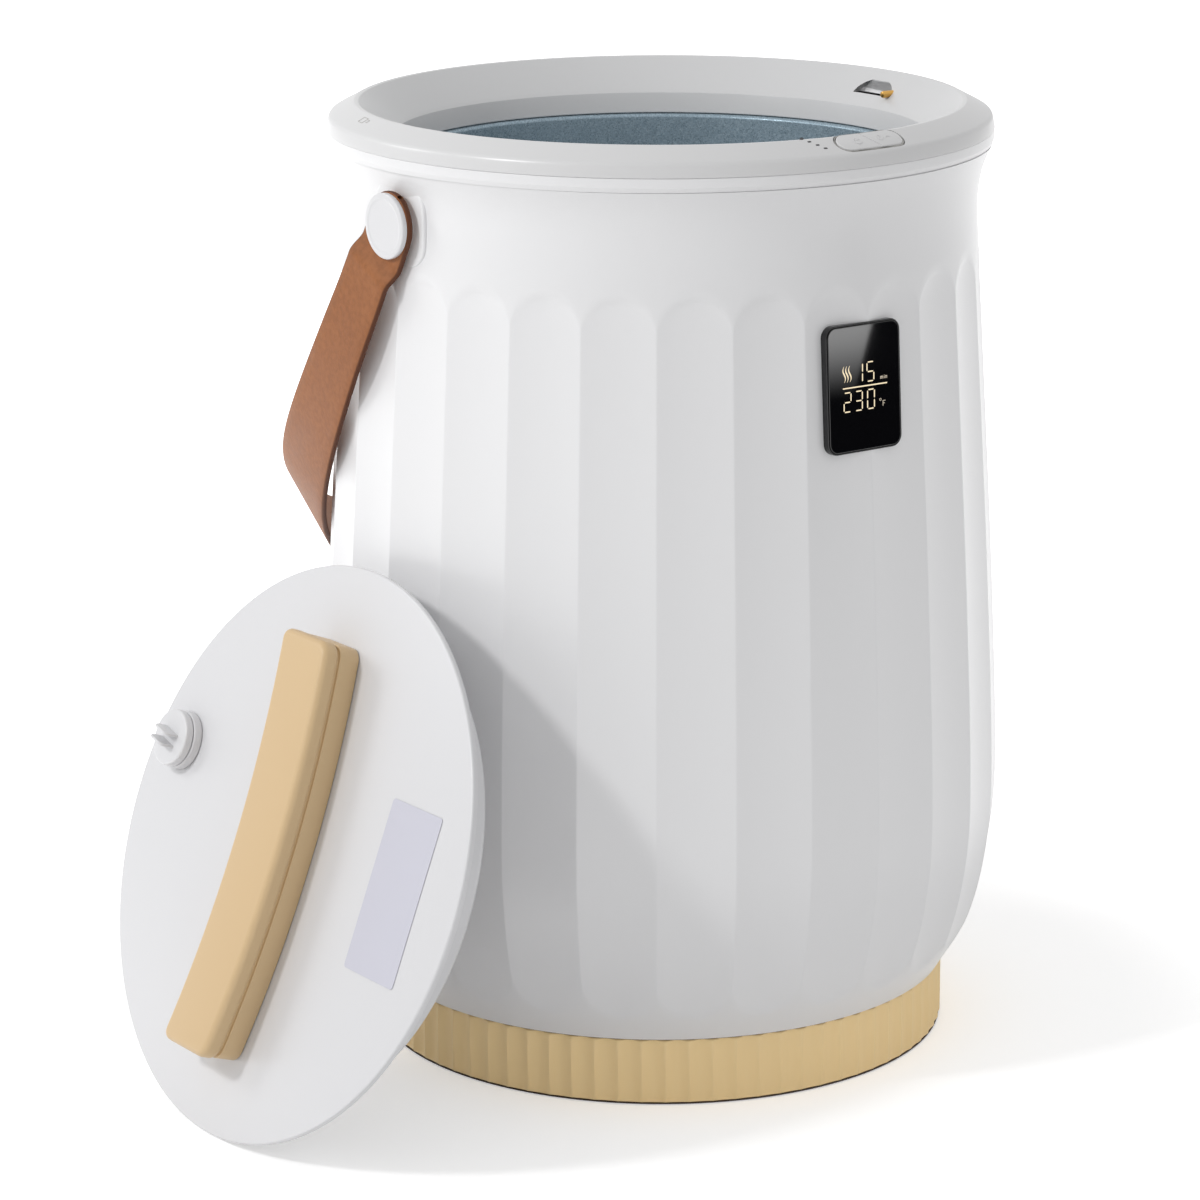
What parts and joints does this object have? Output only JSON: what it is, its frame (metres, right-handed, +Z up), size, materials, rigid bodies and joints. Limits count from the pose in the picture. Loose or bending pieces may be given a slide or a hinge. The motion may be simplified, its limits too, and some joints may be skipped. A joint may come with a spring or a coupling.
{
  "type": "towel warmer bucket",
  "caption": "Round electric towel warming bucket with a fluted casing, lined metal bucket, swinging strap handle, rim buttons, front display and a lift-off lid leaning on it.",
  "frame": {"origin": "on the bucket's axis, on the surface that it stands on", "axes": "+Z up along the bucket's axis, -Y towards the display, the strap's pivots on the X axis, the lid leaning at -X"},
  "size_m": [0.3933, 0.3266, 0.4006],
  "materials": {
    "white_plastic": "gloss, faint orange peel",
    "butter_plastic": "satin",
    "brown_plastic": "matte",
    "dark_plastic": "matte",
    "blue_plastic": "satin",
    "black_gloss": "high gloss",
    "window_glass": "smoked, high gloss",
    "coated_metal": "satin, speckled non-stick coat",
    "steel": "brushed",
    "brass": "turned",
    "rubber": "matte",
    "dark_rubber": "matte",
    "silicone": "matte",
    "leather": "grained",
    "fibre": "felted",
    "heater_film": "printed film",
    "circuit": "satin"
  },
  "bodies": {
    "body": {"outer_shell": "white_plastic", "rim_collar": "white_plastic", "rim_bead": "white_plastic", "inner_bucket": "coated_metal", "heater_film": "heater_film", "insulation_blanket": "fibre", "clamp_band_lower": "steel", "clamp_band_upper": "steel", "heater_lead_left": "silicone", "heater_lead_right": "silicone", "thermostat": "dark_plastic", "thermal_fuse": "silicone", "sensor_bracket": "steel", "base_plate": "brown_plastic", "base_ring": "butter_plastic", "base_gasket": "dark_rubber", "base_screw_1": "steel", "base_screw_2": "steel", "base_screw_3": "steel", "bucket_screw_1": "steel", "bucket_screw_2": "steel", "bucket_screw_3": "steel", "rubber_foot": "rubber", "cord_gland": "rubber", "main_board": "circuit", "relay": "blue_plastic", "transformer": "dark_plastic", "terminal_block": "blue_plastic", "capacitor": "black_gloss", "display_bezel": "black_gloss", "display_window": "window_glass", "display_panel": "dark_plastic", "display_board": "circuit", "button_frame": "white_plastic", "button_board": "circuit", "power_switch": "dark_plastic", "mode_switch": "dark_plastic", "indicator_guide": "dark_plastic", "lid_switch": "dark_plastic", "pivot_cap_left": "white_plastic", "pivot_cap_right": "white_plastic", "pivot_bolt_left": "steel", "pivot_bolt_right": "steel", "pivot_nut_left": "steel", "pivot_nut_right": "steel"},
    "strap": {"strap_handle": "leather"},
    "power_key": {"power_button": "white_plastic"},
    "mode_key": {"mode_button": "white_plastic"},
    "pin": {"lid_pin": "brass"},
    "lid": {"lid_cover": "white_plastic", "lid_liner": "white_plastic", "lid_insulation": "fibre", "lid_seal": "silicone", "lid_handle_base": "butter_plastic", "lid_handle_grip": "butter_plastic", "lid_handle_screw_1": "steel", "lid_handle_screw_2": "steel", "scent_collar": "white_plastic", "scent_pad": "fibre"},
    "vent_cap": {"scent_cap": "white_plastic"}
  },
  "joints": [
    {"name": "strap_swing", "type": "hinge", "parent": "body", "child": "strap", "pos_m": [0, 0, 0.361], "axis": [1, 0, 0], "range_deg": [0, 270]},
    {"name": "power_press", "type": "slide", "parent": "body", "child": "power_key", "axis": [-0.0073, 0.4636, -0.886], "range_m": [0, 0.0008], "stiffness_N_per_m": 300, "springref_m": -0.004},
    {"name": "mode_press", "type": "slide", "parent": "body", "child": "mode_key", "axis": [-0.0073, 0.4636, -0.886], "range_m": [0, 0.0008], "stiffness_N_per_m": 300, "springref_m": -0.004},
    {"name": "pin_press", "type": "slide", "parent": "body", "child": "pin", "axis": [0.9956, -0.0937, 0], "range_m": [0, 0.003], "stiffness_N_per_m": 200, "springref_m": -0.003},
    {"name": "lid_lift", "type": "slide", "parent": "body", "child": "lid", "axis": [-0.9329, 0.0232, 0.3595], "range_m": [0, 0.3]},
    {"name": "vent_turn", "type": "hinge", "parent": "lid", "child": "vent_cap", "pos_m": [-0.18788, 0.0852, 0.13475], "axis": [-0.9329, 0.0232, 0.3595], "range_deg": [0, 90]}
  ]
}
